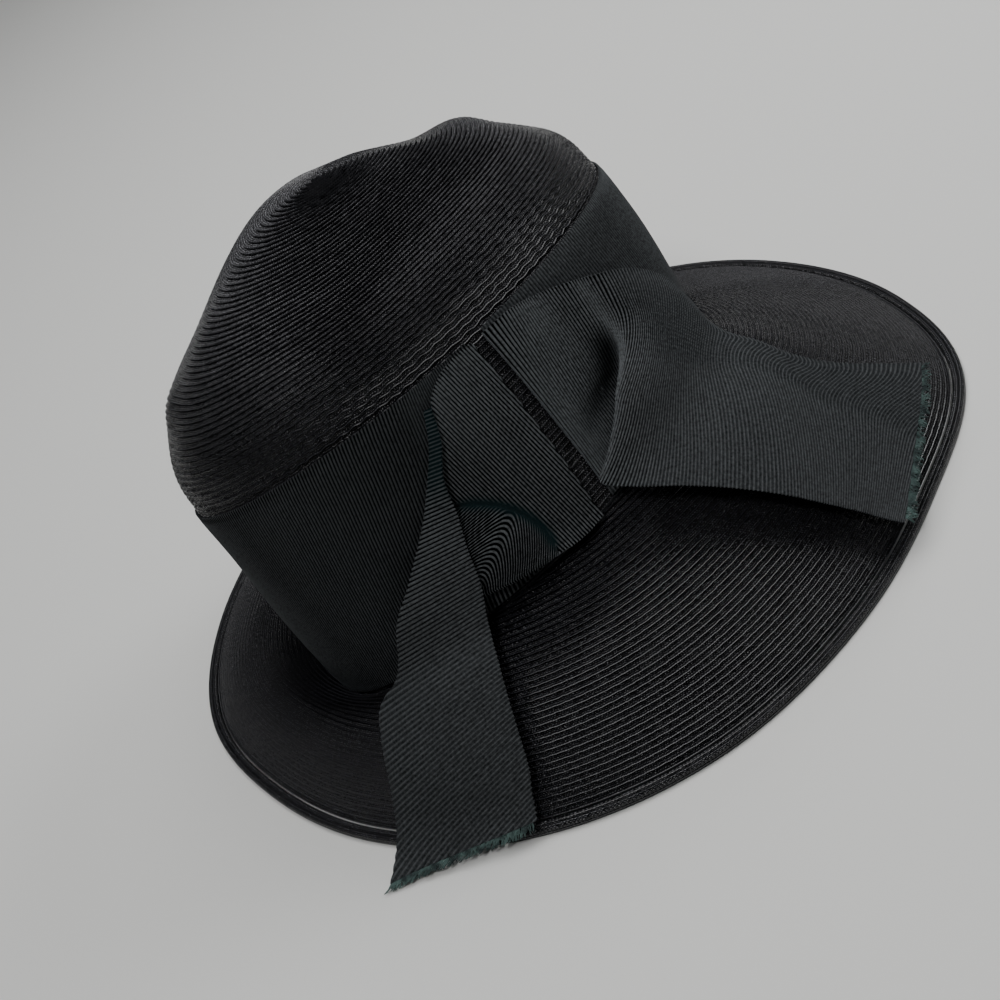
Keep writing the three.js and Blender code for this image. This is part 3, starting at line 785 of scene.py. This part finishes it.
loop_surface = bow_surface(left_loop_rows)
pillow_u, pillow_v = 0.95, 0.96
pillow_middle = loop_surface(np.array(pillow_u), np.array(pillow_v))
gap_top, gap_foot, far_foot = (
    loop_surface(np.array(a), np.array(b)) for a, b in ((0.0, 0.0), (0.0, 1.0), (0.8, 0.8))
)
gap_line = unit(gap_foot - gap_top)
off_gap = unit(far_foot - gap_foot - ((far_foot - gap_foot) @ gap_line) * gap_line)
fine_pitch = 1.05
arch_top = loop_surface(np.array(0.594), np.array(0.704))
off_right_leg = np.array([0.853, -0.296, -0.431])
off_left_leg = np.array([-0.148, 0.572, 0.807])


def crease(u, v, p):
    """Distance from the pillow's middle, radius of the old fold round it, and angle round it in degrees."""
    along = (pillow_u - u) * 47
    across = (pillow_v - v) * ribbon_width
    angle = np.degrees(np.arctan2(across, along))
    radius = 27 + 2.5 * np.clip(np.sin(np.radians(angle)), 0, 1)
    return np.linalg.norm(p - pillow_middle, axis=-1), radius, angle


def loop_ribs(u, v, p, count):
    distance, radius, angle = crease(u, v, p)
    straight = ((p - gap_top) @ (off_gap + 0.12 * gap_line)) / fine_pitch
    right_leg = (p - arch_top) @ off_right_leg
    left_leg = (p - arch_top) @ off_left_leg
    arch = (right_leg + left_leg + np.hypot(right_leg - left_leg, 7)) / 2
    return straight + smooth(0.8, -0.8, distance - radius) * (arch / (0.66 * fine_pitch) - straight)


def loop_calm(u, v, p):
    distance, radius, angle = crease(u, v, p)
    fold = np.exp(-((distance - radius) / (1.6 + 2.4 * smooth(55, 90, angle))) ** 2)
    roll = smooth(0.84, 0.98, u) * smooth(0.45, 0.1, v)
    return (1 - 0.9 * fold) * (1 - 0.8 * roll)


def loop_swell(u, v, p):
    distance, radius, angle = crease(u, v, p)
    swell = 2.6 * np.sin(np.pi * np.clip(distance / radius, 0, 1))
    return swell - 0.8 * np.exp(-((distance - radius) / 1.7) ** 2)


def loop_worn(u, v, p):
    distance, radius, angle = crease(u, v, p)
    fold = np.exp(-((distance - radius) / 1.7) ** 2) * smooth(-6, 8, angle) * smooth(98, 70, angle)
    roll = smooth(0.84, 0.98, u) * smooth(0.45, 0.1, v)
    return np.clip(1.3 * fold + 0.6 * roll, 0, 1)


left_loop, left_loop_length = ribbon_mesh(
    "left_loop", loop_surface, 150, loop_ribs, loop_calm, loop_swell, loop_worn
)
worn_grosgrain = ribbon_material("worn_grosgrain", "wear_and_painted_shade")
left_loop.data.materials.append(worn_grosgrain)
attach(left_loop, "root")
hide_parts("bow_left_loop")

# Left tail: the ribbon opens out of the roll, crosses the brim and hangs just past the rim to the floor.
left_tail_rows = [
    (-91.6, 0.10, 0.004, -91.0, 0.10, 0.016, -90.3, 0.10, 0.026),
    (-95.0, 0.23, 0.010, -94.0, 0.23, 0.034, -92.6, 0.23, 0.046),
    (-99.5, 0.35, 0.014, -98.2, 0.36, 0.052, -96.6, 0.37, 0.064),
    (-105.5, 0.49, 0.026, -102.2, 0.51, 0.062, -98.8, 0.53, 0.070),
    (-115.0, 0.66, 0.058, -108.5, 0.66, 0.088, -101.5, 0.68, 0.080),
    (-123.5, 0.80, 0.085, -114.0, 0.82, 0.116, -103.8, 0.84, 0.086),
    (-130.0, 1.03, 0.112, -119.0, 1.04, 0.140, -107.0, 1.03, 0.096),
    (-132.5, 1.26, 0.100, -121.0, 1.28, 0.140, -108.0, 1.30, 0.098),
    (-131.5, 1.50, 0.086, -121.0, 1.50, 0.120, -109.0, 1.53, 0.080),
    (-130.5, 1.75, 0.070, -120.7, 1.76, 0.100, -110.0, 1.78, 0.060),
    (-130.5, 1.98, 0.045, -121.0, 1.93, 0.062, -111.0, 1.89, 0.050),
    (-130.2, 2.34, 0.000, -122.7, 2.13, 0.022, -111.6, 2.01, 0.036),
]


tail_surface = bow_surface(left_tail_rows)
tail_shoulder = tail_surface(np.array(0.356), np.array(0.608))
down_tail = np.array([-0.061, -0.579, -0.813])
across_tail = np.array([0.998, -0.027, -0.055])
rib_turn = 0.0045


def tail_ribs(u, v, p, count):
    """Ribs counted down the tail, turning a little toward its cut end."""
    way_down = (p - tail_shoulder) @ down_tail
    aside = (p - tail_shoulder) @ across_tail
    return way_down * (1 + rib_turn * aside) / rib_pitch


def rolled_calm(u, v, p):
    return (1 - 0.8 * smooth(0.27, 0.15, u)) * (1 - 0.45 * smooth(0.4, 0.7, u))


def rolled_worn(u, v, p):
    return 0.7 * smooth(0.27, 0.15, u)


left_tail, left_tail_length = ribbon_mesh(
    "left_tail", tail_surface, 70, tail_ribs, calm=rolled_calm, wear_and_painted_shade=rolled_worn,
    fading_and_painted_light=lambda u, v, p: smooth(0.25, 0.6, u),
)
left_tail.data.materials.append(worn_grosgrain)
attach(left_tail, "root")
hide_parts("bow_left_tail")

# Right half: a panel beside the gap, one deep pleat, a rolled fold, and then the tail that lies toward
# the rim. It is the same ribbon, paler along the tail from sun fading, with painted shade, near black, in
# the depth of the pleat.
right_rows = [
    (-74.3, 0.01, 0.000, -74.3, 0.45, 0.000, -75.3, 0.92, 0.000),
    (-67.0, 0.02, 0.006, -69.0, 0.47, 0.008, -70.5, 0.94, 0.004),
    (-60.5, 0.07, 0.020, -60.5, 0.50, 0.012, -63.0, 0.97, 0.012),
    (-55.8, 0.12, 0.038, -57.8, 0.53, 0.066, -66.0, 0.94, 0.080),
    (-50.5, 0.19, 0.055, -62.0, 0.60, 0.116, -76.6, 0.88, 0.144),
    (-44.5, 0.28, 0.064, -58.0, 0.70, 0.140, -73.6, 1.05, 0.164),
    (-38.0, 0.42, 0.064, -52.0, 0.83, 0.136, -69.0, 1.24, 0.156),
    (-31.8, 0.62, 0.054, -46.5, 1.02, 0.130, -64.6, 1.42, 0.144),
    (-29.4, 0.86, 0.058, -43.5, 1.20, 0.126, -61.3, 1.57, 0.138),
    (-32.6, 1.12, 0.096, -43.0, 1.37, 0.126, -59.2, 1.68, 0.130),
    (-35.4, 1.33, 0.110, -43.5, 1.53, 0.122, -57.5, 1.77, 0.122),
    (-33.8, 1.53, 0.108, -42.0, 1.69, 0.112, -55.8, 1.86, 0.108),
    (-27.0, 1.84, 0.094, -41.4, 1.90, 0.100, -54.1, 1.99, 0.104),
]
pleat_late = 0.95
pleat_at = 0.34

# Way across the ribbon and way along it, for the bottom of the pleat
pleat_line = [(0.30, 0.235), (0.48, 0.213), (0.56, 0.190), (0.63, 0.150), (0.73, 0.100), (0.92, 0.010)]


def pleat_depth(u, v, sharp):
    """1 along the bottom of the pleat, which runs down toward the gap, and 0 away from it."""
    ways_across, ways_along = zip(*pleat_line)
    bottom = np.interp(v, ways_across, ways_along)
    return smooth(0.30, 0.48, v) * smooth(0.80, 0.60, v) * np.exp(-((u - bottom) / sharp) ** 2)


def right_ribs(u, v, p, count):
    """Finer ribs on the panel beside the gap and along the lower part of the tail."""
    panel = 7 * smooth(0, 0.26, u) + 8 * (v - 0.35) * smooth(0, 0.26, u)
    tail = 9 * smooth(0.05, 0.5, v) * smooth(0.28, 0.60, u)
    return count + panel + tail


right_half, right_length = ribbon_mesh(
    "right_half_of_bow", bow_surface(right_rows, pleat_late, pleat_at), 48, right_ribs,
    calm=lambda u, v, p: 1 - 0.5 * smooth(0.3, 0.5, u),
    extra=lambda u, v, p: -1.6 * pleat_depth(u, v, 0.045),
    # Painted shade: the colour is mixed toward near black along the bottom of the pleat.
    wear_and_painted_shade=lambda u, v, p: 0.97 * pleat_depth(u, v, 0.055),
    fading_and_painted_light=lambda u, v, p: smooth(0.3, 0.5, u),
    rib_points=6,
)
right_half.data.materials.append(grosgrain)
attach(right_half, "root")
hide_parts("bow_right")

# Cut ends: the ribbon is cut across and not hemmed, so short curly threads of faded teal stand out of
# both tails. They are loose warp ends, thin and round.
thread_count = 380
longest_thread = 4.2
straggle = 0.8
thread_radius = 0.15


def end_threads(name, surface):
    """Curly threads along a ribbon's last edge, as one closed mesh of thin round tubes."""
    curve = bpy.data.curves.new(name, "CURVE")
    curve.dimensions = "3D"
    curve.bevel_depth = thread_radius * MM
    curve.bevel_resolution = 1
    curve.use_fill_caps = True
    v = rng.uniform(0.01, 0.98, thread_count)
    end = np.ones(thread_count)
    roots = surface(end, v)
    aheads = unit(roots - surface(0.97 * end, v))
    asides = unit(surface(end, v + 0.01) - roots)
    outs = unit(np.cross(aheads, asides))
    outs *= np.sign(outs[:, 2:3])
    steps = np.linspace(0, 1, 8)[:, None]
    for root, ahead, aside, out in zip(roots, aheads, asides, outs):
        length = longest_thread * rng.uniform(0.35, 1)
        bend = rng.uniform(-1.2, 1.2)
        lean = rng.uniform(-straggle, straggle)
        phase = rng.uniform(0, 2 * np.pi)
        points = root - 0.5 * ahead + steps * length * (ahead + lean * aside + 0.15 * out)
        points += 0.22 * length * steps**2 * (bend * aside + 0.5 * np.sin(5 * steps + phase) * out)
        points[:, 2] = np.maximum(points[:, 2], 0.3)
        spline = curve.splines.new("POLY")
        spline.points.add(len(points) - 1)
        placed = (points - (rim_middle[0], rim_middle[1], 0)) * MM
        spline.points.foreach_set("co", np.column_stack([placed, np.ones(len(placed))]).ravel())
    piece = bpy.data.objects.new(name, curve)
    bpy.context.collection.objects.link(piece)
    bpy.ops.object.select_all(action="DESELECT")
    piece.select_set(True)
    bpy.context.view_layer.objects.active = piece
    bpy.ops.object.convert(target="MESH")
    return bpy.context.object


thread, thread_tree, thread_shader, add_thread = nodes_of("faded_thread")
thread_place = add_thread("ShaderNodeTexCoord")
thread_cloud = add_thread("ShaderNodeTexNoise", thread_place.outputs["Object"])
thread_cloud.inputs["Scale"].default_value = 260
thread_colour = add_thread("ShaderNodeValToRGB", thread_cloud.outputs["Fac"])
thread_colour.color_ramp.elements[0].position = 0.35
thread_colour.color_ramp.elements[0].color = (0.010, 0.020, 0.021, 1)
thread_colour.color_ramp.elements[1].position = 0.65
thread_colour.color_ramp.elements[1].color = (0.075, 0.125, 0.115, 1)
thread_tree.links.new(thread_colour.outputs["Color"], thread_shader.inputs["Base Color"])
thread_shader.inputs["Roughness"].default_value = 0.8
for fray_name, fray_surface, node in (
    ("left_tail_threads", bow_surface(left_tail_rows), "bow_left_tail"),
    ("right_tail_threads", bow_surface(right_rows), "bow_right"),
):
    threads = end_threads(fray_name, fray_surface)
    threads.data.materials.append(thread)
    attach(threads, "root")
    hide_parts(node)

print("lengths", band_length, left_loop_length, left_tail_length, right_length)
